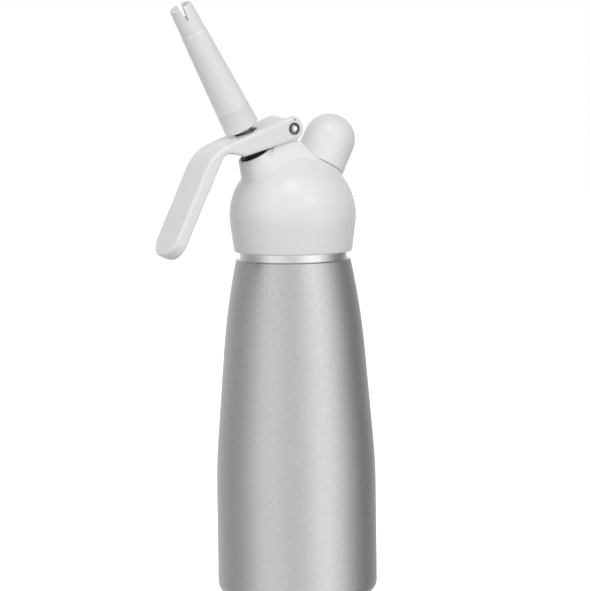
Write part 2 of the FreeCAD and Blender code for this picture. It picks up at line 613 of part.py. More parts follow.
def round_lever(body):
    """Rounds the corners of the padded outline, then its long edges."""
    half = value("lever_half_width")
    width = 2 * half
    tip_x = value("-deck_length - handle_length * cos(knee_angle)")
    tip_z = value("deck_rise - handle_length * sin(knee_angle)")
    thick = value("handle_thickness")

    def near(edge, x, z, reach):
        centre = edge.BoundBox.Center
        return math.hypot(centre.x - x, centre.z - z) < reach

    def crosswise(edge):
        return abs(edge.BoundBox.YLength - width) < 0.01 and edge.BoundBox.DiagonalLength < width + 0.1

    end_x = tip_x + thick * math.sin(math.radians(value("knee_angle"))) / 2
    end_z = tip_z - thick * math.cos(math.radians(value("knee_angle"))) / 2
    fillet(body, "lever_half_width * 0.83", lambda e: e.BoundBox.YLength < 0.01
           and near(e, end_x, end_z, 0.1))
    rear = value("arm_tail")
    fillet(body, "arm_tail * 0.96", lambda e: crosswise(e) and abs(e.BoundBox.Center.x - rear) < 0.01)
    knee = (value("-deck_length"), value("deck_rise"))
    fillet(body, "knee_blend", lambda e: crosswise(e) and near(e, knee[0], knee[1], 0.01))
    foot = (value("-arm_foot_x"), value("-arm_foot_drop"))
    fillet(body, "arm_foot_blend", lambda e: crosswise(e) and near(e, foot[0], foot[1], 0.01))
    pit_x = value("-deck_length + armpit_rise * cos(knee_angle) + handle_thickness * sin(knee_angle)")
    pit_z = value("deck_rise + armpit_rise * sin(knee_angle) - handle_thickness * cos(knee_angle)")
    fillet(body, "armpit_blend", lambda e: crosswise(e) and near(e, pit_x, pit_z, 0.01))
    fillet(body, "lever_edge", lambda e: e.BoundBox.YLength < 0.01
           and abs(abs(e.BoundBox.Center.y) - half) < 0.01)


def nose(name, side):
    """A rounded nose under the deck that presses the thrust collar beside the piston."""
    solid = cylinder(name, "nose_radius", 2.0)
    turn = f"({LEAN} + 0)"
    x = f"(-{PIN_TO_AXIS} * cos({turn}) - {NOSE_ALONG} * sin({turn}))"
    z = f"(-{PIN_TO_AXIS} * sin({turn}) + {NOSE_ALONG} * cos({turn}))"
    start = "piston_radius + 2.7" if side > 0 else "-piston_radius - 0.7"
    place(solid, f"pin_x + {x} * cos(deck_tilt) - {z} * sin(deck_tilt)", start,
          f"pin_z + {x} * sin(deck_tilt) + {z} * cos(deck_tilt)", V(1, 0, 0), 90)
    return solid


def deck_slot():
    """The slot in the deck that the piston passes through."""
    middle = f"({PIN_TO_AXIS} + 0.4)"
    radius = "(piston_radius + 0.5)"
    ends = []
    for name, shift in (("slot_front", "0.75"), ("slot_rear", "-0.75")):
        end = cylinder(name, radius, 12)
        ends.append((end, shift))
    block = box("slot_middle", (0, 0, 0), (1.5, f"2 * {radius}", 12))
    foot = "(deck_rise - 6)"
    for end, shift in ends:
        along = f"(-{middle} - {shift})"
        place(end, f"pin_x + {along} * cos(deck_tilt) - {foot} * sin(deck_tilt)", 0,
              f"pin_z + {along} * sin(deck_tilt) + {foot} * cos(deck_tilt)", V(0, -1, 0), "deck_tilt")
    along = f"(-{middle} - 0.75)"
    place(block, f"pin_x + {along} * cos(deck_tilt) - {foot} * sin(deck_tilt)", f"-{radius}",
          f"pin_z + {along} * sin(deck_tilt) + {foot} * cos(deck_tilt)", V(0, -1, 0), "deck_tilt")
    return joined("deck_slot", [ends[0][0], ends[1][0], block])


def make_pin():
    end = "(lever_half_width + pin_end_gap)"
    dome = cap_arc("pin_head_radius", "pin_head_height - pin_head_edge")
    pin = revolved("pivot_pin", [
        (0, f"-{end} - pin_grip + fit_play"),
        ("pin_radius", f"-{end} - pin_grip + fit_play"),
        ("pin_radius", end),
        ("pin_head_radius", end),
        ("pin_head_radius", f"{end} + pin_head_edge", dome),
        (0, f"{end} + pin_head_height"),
    ])
    at_pin(pin)
    node(pin, "pivot_pin")
    cap = revolved("pin_cap", [
        (0, f"-{end} - pin_head_height", dome),
        ("pin_head_radius", f"-{end} - pin_head_edge"),
        ("pin_head_radius", f"-{end}"),
        ("pin_radius + fit_play", f"-{end}"),
        ("pin_radius + fit_play", f"-{end} - pin_grip"),
        (0, f"-{end} - pin_grip"),
    ])
    at_pin(cap)
    node(cap, "pin_cap")


def make_valve():
    """What sits on the valve axis inside the head, and what slides with the nozzle."""
    groove = f"(ledge_height + bush_length / 2 - wiper_section - 0.2)"
    groove_top = f"({groove} + 2 * wiper_section + 0.4)"
    inner = "(piston_radius + sliding_play)"
    bush = revolved("guide_bush", [
        (inner, "ledge_height"),
        (f"{BOSS_BORE} - fit_play", "ledge_height"),
        (f"{BOSS_BORE} - fit_play", BUSH_TOP),
        (inner, BUSH_TOP),
        (inner, groove_top),
        (f"{inner} + 2 * wiper_section + 0.05", groove_top),
        (f"{inner} + 2 * wiper_section + 0.05", groove),
        (inner, groove),
    ])
    wiper = doc.addObject("Part::Torus", "wiper_ring")
    bind(wiper, "Radius1", f"{inner} + wiper_section + 0.02")
    bind(wiper, "Radius2", "wiper_section")
    middle = f"(({groove} + {groove_top}) / 2)"
    place(wiper, f"hub_x - {middle} * sin(valve_tilt)", 0, f"{HUB} + {middle} * cos(valve_tilt)",
          V(0, -1, 0), "valve_tilt")
    node(wiper, "wiper_ring")
    seat = ring("valve_seat", "seat_bore", "chamber_radius - fit_play", SEAT_FACE, CHAMBER_TOP)
    collar = ring("thrust_collar", "piston_radius + fit_play", "collar_radius", COLLAR_FOOT, COLLAR_TOP)
    seal = ring("poppet_seal", "piston_stud + fit_play", "seal_radius", SEAL_FOOT, SEAL_TOP)
    poppet = ring("valve_poppet", "piston_stud + fit_play", "poppet_radius",
                  f"{SEAL_FOOT} - poppet_height", SEAL_FOOT)
    for body in (bush, seat, collar, seal, poppet):
        on_valve_axis(body)
        node(body, body.Name)
    make_spring()
    make_piston()
    make_nozzle()


def make_piston():
    """A hollow piston with four side ports, closed below by its stud."""
    piston = revolved("piston", [
        (0, f"{SEAL_FOOT} - poppet_height + 0.4"),
        ("piston_stud", f"{SEAL_FOOT} - poppet_height + 0.4"),
        ("piston_stud", SEAL_TOP),
        ("piston_neck", SEAL_TOP),
        ("piston_neck", f"{CHAMBER_TOP} - 0.5"),
        ("piston_radius", f"{CHAMBER_TOP} + 0.3"),
        ("piston_radius", f"{SOCKET_FLOOR} - 0.1"),
        ("piston_bore", f"{SOCKET_FLOOR} - 0.1"),
        ("piston_bore", f"{SEAL_TOP} + 1.2"),
        (0, f"{SEAL_TOP} + 1.2"),
    ])
    sketch = plane_sketch(piston, "side_port")
    circle = Part.Circle(V(0, value(f"{SEAL_TOP} + 3"), 0), V(0, 0, 1), value("port_hole"))
    sketch.addGeometry(circle, False)
    sketch.addConstraint(Sketcher.Constraint("PointOnObject", 0, 3, -2))
    for kind, text in (("DistanceY", f"{SEAL_TOP} + 3"), ("Radius", "port_hole")):
        where = (-1, 1, 0, 3) if kind == "DistanceY" else (0,)
        number = sketch.addConstraint(Sketcher.Constraint(kind, *where, value(text)))
        sketch.setExpression(f"Constraints[{number}]", bound(text))
    bore = piston.newObject("PartDesign::Pocket", "side_bore")
    bore.Profile = sketch
    bore.SideType = "Symmetric"
    bind(bore, "Length", "4 * piston_radius")
    repeat(piston, bore, sketch)
    on_valve_axis(piston)
    node(piston, "valve_piston")


def repeat(body, feature, sketch):
    """Repeats a cut that runs right through a body a quarter turn on."""
    pattern = body.newObject("PartDesign::PolarPattern", f"{feature.Name}_pattern")
    pattern.Originals = [feature]
    pattern.Axis = (sketch, ["V_Axis"])
    pattern.Angle = 90
    pattern.Occurrences = 2
    body.Tip = pattern
    doc.recompute()


def make_spring():
    """The helical return spring between the guide bush and the thrust collar."""
    foot = f"({BUSH_TOP} + spring_wire + 0.1)"
    top = f"({COLLAR_FOOT} - spring_wire - 0.1)"
    body = new_body("spring")
    sketch = plane_sketch(body, "wire_section")
    centre = V(value("spring_radius"), value(foot), 0)
    sketch.addGeometry(Part.Circle(centre, V(0, 0, 1), value("spring_wire")), False)
    for kind, where, text in (("DistanceX", (-1, 1, 0, 3), "spring_radius"),
                              ("DistanceY", (-1, 1, 0, 3), foot), ("Radius", (0,), "spring_wire")):
        number = sketch.addConstraint(Sketcher.Constraint(kind, *where, value(text)))
        sketch.setExpression(f"Constraints[{number}]", bound(text))
    helix = body.newObject("PartDesign::AdditiveHelix", "coils")
    helix.Profile = sketch
    helix.ReferenceAxis = (sketch, ["V_Axis"])
    helix.Mode = 0
    bind(helix, "Height", f"{top} - {foot}")
    bind(helix, "Pitch", f"({top} - {foot}) / spring_turns")
    on_valve_axis(body)
    node(body, "valve_spring")
    gap = value(f"({top} - {foot}) / spring_turns - 2 * spring_wire")
    print(f"valve_spring: least gap between turns {gap:.2f} mm")


def make_nozzle():
    """The adapter on the piston, and the decorating nozzle that screws into it."""
    adapter = revolved("adapter", [
        ("piston_radius + fit_play", "nozzle_base"),
        ("adapter_radius - 0.5", "nozzle_base"),
        ("adapter_radius", "nozzle_base + 0.5"),
        ("adapter_top_radius", ADAPTER_TOP),
        ("socket_radius", ADAPTER_TOP),
        ("socket_radius", SOCKET_FLOOR),
        ("piston_radius + fit_play", SOCKET_FLOOR),
    ])
    core = "(socket_radius - nozzle_ridge - 0.3)"
    ridge(adapter, "socket_thread", "socket_radius + 0.2", "socket_radius - nozzle_ridge",
          f"{SOCKET_FLOOR} + nozzle_thread_rise", "nozzle_pitch", "nozzle_pitch * 1.1",
          "nozzle_ridge_root", "nozzle_ridge_crest")
    on_valve_axis(adapter)
    node(adapter, "nozzle_adapter")
    washer = ring("nozzle_washer", "piston_bore + 0.6", f"{core} - 0.3",
                  SOCKET_FLOOR, f"{SOCKET_FLOOR} + 1")
    on_valve_axis(washer)
    node(washer, "nozzle_washer")
    shank = f"({ADAPTER_TOP} + nozzle_shank)"
    seat = f"({ADAPTER_TOP} + sliding_play)"
    nozzle = revolved("nozzle", [
        (f"{core} - nozzle_wall", f"{SOCKET_FLOOR} + 1.05"),
        (core, f"{SOCKET_FLOOR} + 1.05"),
        (core, seat),
        ("adapter_top_radius", seat),
        ("shank_top_radius", shank),
        ("tip_radius", f"{shank} + 1.0"),
        ("tip_end_radius", f"{NOZZLE_TIP} - 0.6"),
        ("tip_end_radius - 0.5", NOZZLE_TIP),
        ("tip_end_radius - nozzle_wall + 0.1", NOZZLE_TIP),
        ("tip_radius - nozzle_wall", f"{shank} + 1.0"),
        ("shank_top_radius - nozzle_wall", f"{shank} - 2"),
        ("adapter_top_radius - nozzle_wall - 0.6", f"{seat} + 6"),
        (f"{core} - nozzle_wall", f"{seat} + 3"),
    ])
    ridge(nozzle, "nozzle_thread", f"{core} - 0.2", f"{core} + nozzle_ridge",
          f"{SOCKET_FLOOR} + nozzle_thread_rise + nozzle_pitch / 2", "nozzle_pitch", "nozzle_pitch * 0.7",
          "nozzle_ridge_root", "nozzle_ridge_crest")
    slits = plane_sketch(nozzle, "slit_profile")
    slits.AttachmentOffset = FreeCAD.Placement(V(0, 0, 0), FreeCAD.Rotation(V(0, -1, 0), value("slit_turn")))
    slits.setExpression("AttachmentOffset.Rotation.Angle", bound("slit_turn"))
    outline(slits, [
        (-0.3, SLIT_FOOT),
        (0.3, SLIT_FOOT),
        ("slit_width / 2", f"{NOZZLE_TIP} + 0.5"),
        ("-slit_width / 2", f"{NOZZLE_TIP} + 0.5"),
    ])
    cut = nozzle.newObject("PartDesign::Pocket", "slits")
    cut.Profile = slits
    cut.SideType = "Symmetric"
    bind(cut, "Length", "4 * tip_radius")
    repeat(nozzle, cut, slits)
    on_valve_axis(nozzle)
    node(nozzle, "decorator_nozzle")


def make_port():
    """The charger nipple with its pin, seals and check valve, and the cap over it."""
    stem_foot = "(port_height - nipple_stem_length)"
    tail_foot = f"({stem_foot} - nipple_tail_length)"
    floor = "(port_height + socket_floor)"
    groove = f"({stem_foot} + 5.4)"
    nipple = revolved("nipple", [
        (0, tail_foot),
        ("nipple_tail", tail_foot),
        ("nipple_tail", stem_foot),
        ("nipple_stem - fit_play", stem_foot),
        ("nipple_stem - fit_play", groove),
        ("nipple_stem - 1.2", groove),
        ("nipple_stem - 1.2", f"{groove} + 1.4"),
        ("nipple_stem - fit_play", f"{groove} + 1.4"),
        ("nipple_stem - fit_play", "port_height"),
        ("nipple_core", "port_height"),
        ("nipple_core", f"{NIPPLE_TOP} - 0.5"),
        ("nipple_core - 0.5", NIPPLE_TOP),
        ("charger_socket", NIPPLE_TOP),
        ("charger_socket", floor),
        ("pin_seat", floor),
        ("pin_seat", f"{floor} - 4"),
        ("gas_bore", f"{floor} - 4"),
        ("gas_bore", f"{tail_foot} + 2"),
        (0, f"{tail_foot} + 2"),
    ])
    ridge(nipple, "nipple_thread", "nipple_core - 0.2", "nipple_core + nipple_ridge",
          "port_height + nipple_thread_rise", "nipple_pitch", "nipple_thread_run",
          "nipple_ridge_root", "nipple_ridge_crest")
    on_port_axis(nipple)
    vent = cylinder("vent_hole", 0.6, "4 * nipple_tail")
    height = f"({tail_foot} + 4.5)"
    place(vent, f"hub_x + {height} * sin(port_tilt)", "2 * nipple_tail",
          f"{HUB} + {height} * cos(port_tilt)", V(1, 0, 0), 90)
    node(cut_from("nipple_cut", nipple, [vent]), "port_nipple")
    seal = doc.addObject("Part::Torus", "nipple_seal")
    bind(seal, "Radius1", "nipple_stem - 0.61")
    bind(seal, "Radius2", 0.56)
    height = f"({groove} + 0.7)"
    place(seal, f"hub_x + {height} * sin(port_tilt)", 0, f"{HUB} + {height} * cos(port_tilt)",
          V(0, 1, 0), "port_tilt")
    node(seal, "nipple_seal")
    point = f"({NIPPLE_TOP} - 3.4)"
    pin = revolved("piercing_pin", [
        (0.45, f"{floor} - 4"),
        ("pin_seat - fit_play", f"{floor} - 4"),
        ("pin_seat - fit_play", f"{floor} - 0.1"),
        ("needle_radius", f"{floor} - 0.1"),
        ("needle_radius", f"{point} - 1.6"),
        (0.6, point),
        (0.45, point),
    ])
    washer = ring("charger_seal", "needle_radius + 0.3", "charger_socket - 0.05", floor, f"{floor} + 2.1")
    sleeve = ring("check_sleeve", "nipple_tail + 0.03", "tail_bore - 0.25",
                  f"{tail_foot} + 1.5", f"{stem_foot} - 0.4")
    for body in (pin, washer, sleeve):
        on_port_axis(body)
        node(body, body.Name)
    make_cap()


def make_cap():
    cavity = "(cap_top_radius - cap_wall - 1.4)"
    cap = revolved("cap", [
        ("cap_bore", CAP_FOOT),
        ("cap_radius - 0.4", CAP_FOOT),
        ("cap_radius", f"{CAP_FOOT} + 0.4"),
        ("cap_top_radius", CAP_SHOULDER, "cap_top_radius"),
        (0, f"{CAP_SHOULDER} + cap_top_radius"),
        (0, f"{CAP_SHOULDER} + cap_top_radius - cap_wall", f"-{cavity}"),
        (cavity, f"{CAP_SHOULDER} + cap_top_radius - cap_wall - {cavity}"),
        (cavity, CAP_LEDGE),
        ("cap_bore", CAP_LEDGE),
    ])
    ridge(cap, "cap_thread", "cap_bore + 0.2", "nipple_core + 0.35",
          "port_height + nipple_thread_rise + nipple_pitch / 2", "nipple_pitch", "nipple_thread_run",
          "nipple_ridge_root", "nipple_ridge_crest")
    on_port_axis(cap)
    node(cap, "port_cap")
    seal = revolved("cap_seal", [
        (0, f"{CAP_LEDGE} - cap_seal_thickness"),
        ("cap_bore - 0.4", f"{CAP_LEDGE} - cap_seal_thickness"),
        ("cap_bore - 0.4", f"{CAP_LEDGE} - 0.02"),
        (0, f"{CAP_LEDGE} - 0.02"),
    ])
    on_port_axis(seal)
    node(seal, "cap_seal")


def make_gasket():
    gasket = ring("head_gasket", "thread_core - neck_wall + 0.2", "thread_core + neck_ridge",
                  f"{MOUTH} + 0.02", f"{UNDERSIDE} - 0.02")
    node(gasket, "head_gasket")


def check_document():
    """Stops on a failed object or an unsound piece."""
    doc.recompute()
    for thing in doc.Objects:
        if "Invalid" in thing.State or "Error" in thing.State:
            raise RuntimeError(f"{thing.Name} failed: {thing.State}")
    for piece in NODES:
        shape = piece.Shape
        if shape.isNull() or not shape.isValid() or not shape.Solids:
            raise RuntimeError(f"{piece.Label} has no sound solid")


make_bottle()
make_gasket()
make_head()
make_lever()
make_pin()
make_valve()
make_port()
check_document()
os.makedirs("parts", exist_ok=True)
for piece in NODES:
    piece.Shape.exportStep(f"parts/{piece.Label}.step")
    print(f"{piece.Label}: {piece.Shape.Volume / 1000:.2f} cm3, {len(piece.Shape.Solids)} solid")
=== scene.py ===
# Whipped cream dispenser: finishes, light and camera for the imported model.
import json
import math

import bpy
from mathutils import Matrix, Vector


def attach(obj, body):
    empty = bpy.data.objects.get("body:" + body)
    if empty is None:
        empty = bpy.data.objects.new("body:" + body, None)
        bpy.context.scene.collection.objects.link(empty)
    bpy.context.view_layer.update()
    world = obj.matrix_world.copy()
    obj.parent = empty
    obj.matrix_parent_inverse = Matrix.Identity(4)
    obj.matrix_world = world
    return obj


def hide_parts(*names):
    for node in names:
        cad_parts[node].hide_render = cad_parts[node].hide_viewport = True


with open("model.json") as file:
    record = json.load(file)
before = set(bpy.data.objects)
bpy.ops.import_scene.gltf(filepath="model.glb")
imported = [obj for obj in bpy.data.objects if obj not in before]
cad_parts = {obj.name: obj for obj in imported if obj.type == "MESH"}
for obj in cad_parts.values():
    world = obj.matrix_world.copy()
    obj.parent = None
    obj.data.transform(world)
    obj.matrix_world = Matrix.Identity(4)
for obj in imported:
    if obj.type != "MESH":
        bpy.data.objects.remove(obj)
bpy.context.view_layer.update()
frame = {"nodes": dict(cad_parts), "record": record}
NODES = frame["nodes"]

# places on the part that a finish follows, in metres; the pin's centre and radius also place its
# painted highlight and painted shade
NECK_RING_HEIGHT, NECK_RING_HALF = 0.1672, 0.0021
NECK_RING_EDGE = 0.0002
PIN_X, PIN_Z, PIN_RADIUS = -0.0047, 0.2288, 0.00285


# ---------------------------------------------------------------- finishes

def new_material(name):
    material = bpy.data.materials.new(name)
    material.use_nodes = True
    tree = material.node_tree
    tree.nodes.clear()
    output = tree.nodes.new("ShaderNodeOutputMaterial")
    shader = tree.nodes.new("ShaderNodeBsdfPrincipled")
    tree.links.new(shader.outputs["BSDF"], output.inputs["Surface"])
    return material, tree, shader


def noise(tree, scale, detail=2.0, stretch=(1, 1, 1)):
    """A noise texture in the object's own metres, stretched along its axes."""
    coords = tree.nodes.new("ShaderNodeTexCoord")
    mapping = tree.nodes.new("ShaderNodeMapping")
    mapping.inputs["Scale"].default_value = stretch
    texture = tree.nodes.new("ShaderNodeTexNoise")
    texture.inputs["Scale"].default_value = scale
    texture.inputs["Detail"].default_value = detail
    tree.links.new(coords.outputs["Object"], mapping.inputs["Vector"])
    tree.links.new(mapping.outputs["Vector"], texture.inputs["Vector"])
    return texture.outputs["Fac"]


# most of a noise texture's values lie between these
NOISE_LOW, NOISE_HIGH = 0.3, 0.7


def spread(tree, source, low, high):
    """Maps the middle of a noise to a range of values."""
    ranged = tree.nodes.new("ShaderNodeMapRange")
    ranged.inputs["From Min"].default_value = NOISE_LOW
    ranged.inputs["From Max"].default_value = NOISE_HIGH
    ranged.inputs["To Min"].default_value = low
    ranged.inputs["To Max"].default_value = high
    tree.links.new(source, ranged.inputs["Value"])
    return ranged.outputs["Result"]


def two_tones(tree, shader, source, dark, light):
    mix = tree.nodes.new("ShaderNodeMix")
    mix.data_type = "RGBA"
    mix.inputs["A"].default_value = (*dark, 1)
    mix.inputs["B"].default_value = (*light, 1)
    tree.links.new(spread(tree, source, 0.0, 1.0), mix.inputs["Factor"])
    tree.links.new(mix.outputs["Result"], shader.inputs["Base Color"])


def relief(tree, shader, source, strength, distance):
    bump = tree.nodes.new("ShaderNodeBump")
    bump.inputs["Strength"].default_value = strength
    bump.inputs["Distance"].default_value = distance
    tree.links.new(source, bump.inputs["Height"])
    tree.links.new(bump.outputs["Normal"], shader.inputs["Normal"])


def vary_roughness(tree, shader, source, middle, half):
    """Roughness that wanders with a noise, half to either side of its middle value."""
    tree.links.new(spread(tree, source, middle - half, middle + half),
                   shader.inputs["Roughness"])


def plastic(name, dark, light, roughness, scatter=0.15, specular=0.5):
    """Moulded plastic with a faint cloudiness and a barely rippled surface."""
    material, tree, shader = new_material(name)
    two_tones(tree, shader, noise(tree, 60, 3), dark, light)
    vary_roughness(tree, shader, noise(tree, 60, 1), roughness, 0.015)
    relief(tree, shader, noise(tree, 30, 1), 0.03, 0.0001)
    shader.inputs["IOR"].default_value = 1.5
    shader.inputs["Specular IOR Level"].default_value = specular
    shader.inputs["Subsurface Weight"].default_value = scatter
    shader.inputs["Subsurface Scale"].default_value = 0.004
    shader.inputs["Subsurface Radius"].default_value = (1.0, 0.97, 0.94)
    return material


METAL_GRAIN = 2500


def metal(name, dark, light, roughness):
    """Machined or drawn metal with a fine grain."""
    material, tree, shader = new_material(name)
    fine = noise(tree, METAL_GRAIN, 3)
    two_tones(tree, shader, fine, dark, light)
    vary_roughness(tree, shader, noise(tree, METAL_GRAIN / 3, 2), roughness, 0.04)
    relief(tree, shader, fine, 0.3, 0.00002)
    shader.inputs["Metallic"].default_value = 1.0
    return material


def height_mask(tree, centre, half):
    """1 within a band of heights round the part, 0 outside it."""
    coords = tree.nodes.new("ShaderNodeTexCoord")
    split = tree.nodes.new("ShaderNodeSeparateXYZ")
    tree.links.new(coords.outputs["Object"], split.inputs["Vector"])
    away = tree.nodes.new("ShaderNodeMath")
    away.operation = "SUBTRACT"
    away.inputs[1].default_value = centre
    tree.links.new(split.outputs["Z"], away.inputs[0])
    distance = tree.nodes.new("ShaderNodeMath")
    distance.operation = "ABSOLUTE"
    tree.links.new(away.outputs[0], distance.inputs[0])
    band = tree.nodes.new("ShaderNodeMapRange")
    band.inputs["From Min"].default_value = half
    band.inputs["From Max"].default_value = half + NECK_RING_EDGE
    band.inputs["To Min"].default_value = 1.0
    band.inputs["To Max"].default_value = 0.0
    tree.links.new(distance.outputs[0], band.inputs["Value"])
    return band.outputs["Result"]


def blend_value(tree, mask, low, high):
    """A value that goes from low to high with a mask; either end may be a socket."""
    mix = tree.nodes.new("ShaderNodeMix")
    mix.data_type = "FLOAT"
    tree.links.new(mask, mix.inputs["Factor"])
    for name, end in (("A", low), ("B", high)):
        if isinstance(end, float):
            mix.inputs[name].default_value = end
        else:
            tree.links.new(end, mix.inputs[name])
    return mix.outputs["Result"]


BLAST_GRAIN = 2600
UPRIGHT_GRAIN = (1, 1, 0.25)


def bottle_aluminium():
    """Bead-blasted aluminium with a fine vertical grain, and a polished ring round the neck."""
    material, tree, shader = new_material("blasted_aluminium")
    grain = noise(tree, BLAST_GRAIN, 3, UPRIGHT_GRAIN)
    two_tones(tree, shader, grain, (0.455, 0.455, 0.465), (0.535, 0.535, 0.545))
    polished = height_mask(tree, NECK_RING_HEIGHT, NECK_RING_HALF)
    blend = tree.nodes.new("ShaderNodeMix")
    blend.data_type = "RGBA"
    tree.links.new(polished, blend.inputs["Factor"])
    tree.links.new(shader.inputs["Base Color"].links[0].from_socket, blend.inputs["A"])
    blend.inputs["B"].default_value = (0.62, 0.62, 0.63, 1)
    tree.links.new(blend.outputs["Result"], shader.inputs["Base Color"])
    blasted = spread(tree, noise(tree, 900, 2, UPRIGHT_GRAIN), 0.31, 0.37)
    tree.links.new(blend_value(tree, polished, blasted, 0.12), shader.inputs["Roughness"])
    bump = tree.nodes.new("ShaderNodeBump")
    bump.inputs["Distance"].default_value = 0.00005
    tree.links.new(grain, bump.inputs["Height"])
    tree.links.new(blend_value(tree, polished, 0.45, 0.03), bump.inputs["Strength"])
    tree.links.new(bump.outputs["Normal"], shader.inputs["Normal"])
    shader.inputs["Metallic"].default_value = 1.0
    return material


def fill_ramp(ramp, stops):
    """Gives a colour ramp its stops, each a place from 0 to 1 and a colour, in order."""
    points = ramp.color_ramp.elements
    points[0].position = 0.0
    points[-1].position = 1.0
    for place, colour in stops[1:-1]:
        points.new(place)
    for point, (place, colour) in zip(points, stops):
        point.color = (*colour, 1)


def pin_chrome_painted_highlight_and_shade():
    """Polished steel with a painted highlight in the middle of the pin's domed ends and painted
    shade towards their rim.
    """
    material, tree, shader = new_material("chromed_steel")
    coords = tree.nodes.new("ShaderNodeTexCoord")
    split = tree.nodes.new("ShaderNodeSeparateXYZ")
    tree.links.new(coords.outputs["Object"], split.inputs["Vector"])
    offsets = []
    for axis, centre in (("X", PIN_X), ("Z", PIN_Z)):
        off = tree.nodes.new("ShaderNodeMath")
        off.operation = "SUBTRACT"
        off.inputs[1].default_value = centre
        tree.links.new(split.outputs[axis], off.inputs[0])
        offsets.append(off.outputs[0])
    radius = tree.nodes.new("ShaderNodeCombineXYZ")
    tree.links.new(offsets[0], radius.inputs["X"])
    tree.links.new(offsets[1], radius.inputs["Y"])
    length = tree.nodes.new("ShaderNodeVectorMath")
    length.operation = "LENGTH"
    tree.links.new(radius.outputs["Vector"], length.inputs[0])
    share = tree.nodes.new("ShaderNodeMapRange")
    share.inputs["From Max"].default_value = PIN_RADIUS
    tree.links.new(length.outputs["Value"], share.inputs["Value"])
    ramp = tree.nodes.new("ShaderNodeValToRGB")
    # painted highlight near the pin's axis, fading to painted shade at the rim of each domed end
    painted_highlight_and_shade_tones = [(0.0, 0.85), (0.28, 0.80), (0.45, 0.30), (0.72, 0.16), (0.86, 0.08), (1.0, 0.05)]
    fill_ramp(ramp, [(place, (tone, tone, tone * 1.02)) for place, tone in painted_highlight_and_shade_tones])
    tree.links.new(share.outputs["Result"], ramp.inputs["Fac"])
    tree.links.new(ramp.outputs["Color"], shader.inputs["Base Color"])
    tree.links.new(spread(tree, noise(tree, 1500, 2), 0.12, 0.2), shader.inputs["Roughness"])
    shader.inputs["Metallic"].default_value = 1.0
    return material


def rubber(name, dark, light, roughness):
    """Dull elastomer with a fine grain."""
    material, tree, shader = new_material(name)
    two_tones(tree, shader, noise(tree, 400, 3), dark, light)
    vary_roughness(tree, shader, noise(tree, 1500, 2), roughness, 0.06)
    relief(tree, shader, noise(tree, 2500, 2), 0.2, 0.00005)
    return material


def grey(level):
    return (level, level, level)


FINISHES = {
    "bottle_aluminium": bottle_aluminium(),
    "white_plastic": plastic("white_moulding", (0.92, 0.905, 0.912), (0.94, 0.925, 0.932), 0.22),
    "ivory_plastic": plastic("ivory_moulding", (0.90, 0.88, 0.86), (0.92, 0.90, 0.88), 0.34),
    "nozzle_plastic": plastic("nozzle_moulding", (0.945, 0.935, 0.945), (0.965, 0.955, 0.965),
                              0.34),
    # black_acetal is painted shade: near-black with little gloss, so the bush and collar read as
    # the shade in the slot under the lever and the gap under the nozzle
    "black_acetal": plastic("black_acetal", (0.02, 0.018, 0.016), (0.035, 0.032, 0.03), 0.6,
                            scatter=0.0, specular=0.15),
    "silicone": rubber("milky_silicone", (0.68, 0.68, 0.66), (0.74, 0.74, 0.72), 0.5),
    "black_rubber": rubber("black_rubber", grey(0.018), grey(0.03), 0.6),
    # stainless and spring steel are painted shade: darkened far below bare steel so the valve
    # parts and spring read as the shade in the slot under the lever
    "stainless": metal("stainless_painted_shade", (0.13, 0.13, 0.135), (0.18, 0.18, 0.185), 0.36),
    "spring_steel": metal("wire_painted_shade", (0.05, 0.05, 0.052), (0.08, 0.08, 0.082), 0.42),
    "chromed_steel": pin_chrome_painted_highlight_and_shade(),
    "nickelled_brass": metal("nickelled_brass", (0.58, 0.56, 0.52), (0.66, 0.64, 0.60), 0.2),
}

for part in frame["record"]["subparts"]:
    carried = NODES[part["node"]]
    carried.data.materials.clear()
    carried.data.materials.append(FINISHES[part["material_slot"]])
    for polygon in carried.data.polygons:
        polygon.material_index = 0


# ------------------------------------------------------ softened mouldings

def softened(source_name, name, body, voxel, rounds):
    """A copy of a moulding with its edges and inner corners rounded."""
    source = NODES[source_name]
    copy = source.copy()
    copy.data = source.data.copy()
    copy.name = name
    copy.parent = None
    copy.matrix_world = source.matrix_world
    bpy.context.scene.collection.objects.link(copy)
    remesh = copy.modifiers.new("even_mesh", "REMESH")
    remesh.mode = "VOXEL"
    remesh.voxel_size = voxel
    remesh.use_smooth_shade = True
    smooth = copy.modifiers.new("soft_edges", "SMOOTH")
    smooth.factor = 0.5
    smooth.iterations = rounds
    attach(copy, body)
    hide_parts(source_name)
    return copy


softened("head", "head_moulding", "head", 0.0004, 5)


# ------------------------------------------------------------ light, stage

AZIMUTH, ELEVATION, ROLL = math.radians(-30), math.radians(5.7), math.radians(0.8)
LOOK = Vector((math.sin(AZIMUTH) * math.cos(ELEVATION), -math.cos(AZIMUTH) * math.cos(ELEVATION),
               math.sin(ELEVATION)))
RIGHT = Vector((math.cos(AZIMUTH), math.sin(AZIMUTH), 0))

# the brightest that the studio can be, since a colour ramp holds nothing above 1
PEAK = 2.0

# brightness of the studio by the angle from the camera, in degrees, right positive
STUDIO = [(-180, 0.98), (-135, 0.68), (-105, 0.45), (-75, 0.66), (-47, 1.40), (-18, 1.04),
          (0, 0.96), (20, 1.20), (47, 1.80), (78, 0.80), (108, 0.22), (140, 0.38), (180, 0.98)]


